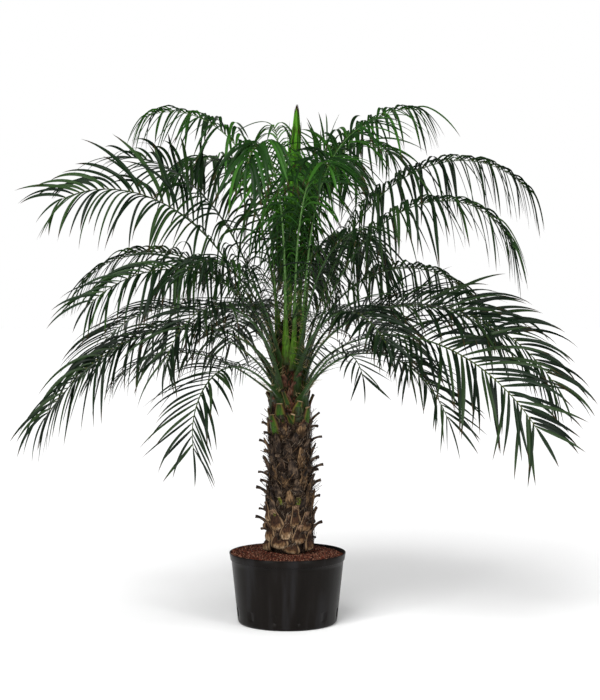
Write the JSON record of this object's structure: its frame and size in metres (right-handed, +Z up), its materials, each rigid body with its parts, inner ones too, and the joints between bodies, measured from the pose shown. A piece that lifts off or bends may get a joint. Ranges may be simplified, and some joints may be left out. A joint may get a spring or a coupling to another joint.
{
  "type": "pygmy date palm in a nursery pot",
  "caption": "Potted pygmy date palm: a rough trunk clad in cut leaf bases, a full crown of arching feather fronds, in a round black plastic tub filled with clay granules.",
  "frame": {"origin": "centre of the pot's flat underside, on the floor", "axes": "+Z up along the pot's axis; the picture looks along +Y, with +X to its right"},
  "size_m": [2.2682, 1.8677, 2.0742],
  "materials": {
    "pot_plastic": "satin black moulded plastic",
    "clay_granules": "dry fired clay granules",
    "trunk_bark": "fibrous bark and cut leaf bases",
    "spear_green": "fresh leaf",
    "frond_green": "satin leaf"
  },
  "bodies": {
    "root": {"clay_fill": "clay_granules", "frond_01": "frond_green", "frond_02": "frond_green", "frond_03": "frond_green", "frond_04": "frond_green", "frond_05": "frond_green", "frond_06": "frond_green", "frond_07_base": "frond_green", "frond_07_tip": "frond_green", "frond_08": "frond_green", "frond_09": "frond_green", "frond_10": "frond_green", "frond_11": "frond_green", "frond_12_base": "frond_green", "frond_12_tip": "frond_green", "frond_13": "frond_green", "frond_14": "frond_green", "frond_15": "frond_green", "frond_16_base": "frond_green", "frond_16_tip": "frond_green", "frond_17": "frond_green", "frond_18": "frond_green", "frond_19": "frond_green", "frond_20_base": "frond_green", "frond_20_tip": "frond_green", "frond_21_base": "frond_green", "frond_21_tip": "frond_green", "frond_22": "frond_green", "frond_23": "frond_green", "frond_24_base": "frond_green", "frond_24_tip": "frond_green", "frond_25": "frond_green", "frond_26_base": "frond_green", "frond_26_tip": "frond_green", "frond_27_base": "frond_green", "frond_27_tip": "frond_green", "frond_28": "frond_green", "frond_29": "frond_green", "frond_30": "frond_green", "frond_31_base": "frond_green", "frond_31_tip": "frond_green", "frond_32": "frond_green", "frond_33": "frond_green", "frond_34": "frond_green", "frond_35_base": "frond_green", "frond_35_tip": "frond_green", "frond_36": "frond_green", "pot": "pot_plastic", "spear_leaf": "spear_green", "trunk": "trunk_bark"}
  },
  "joints": []
}
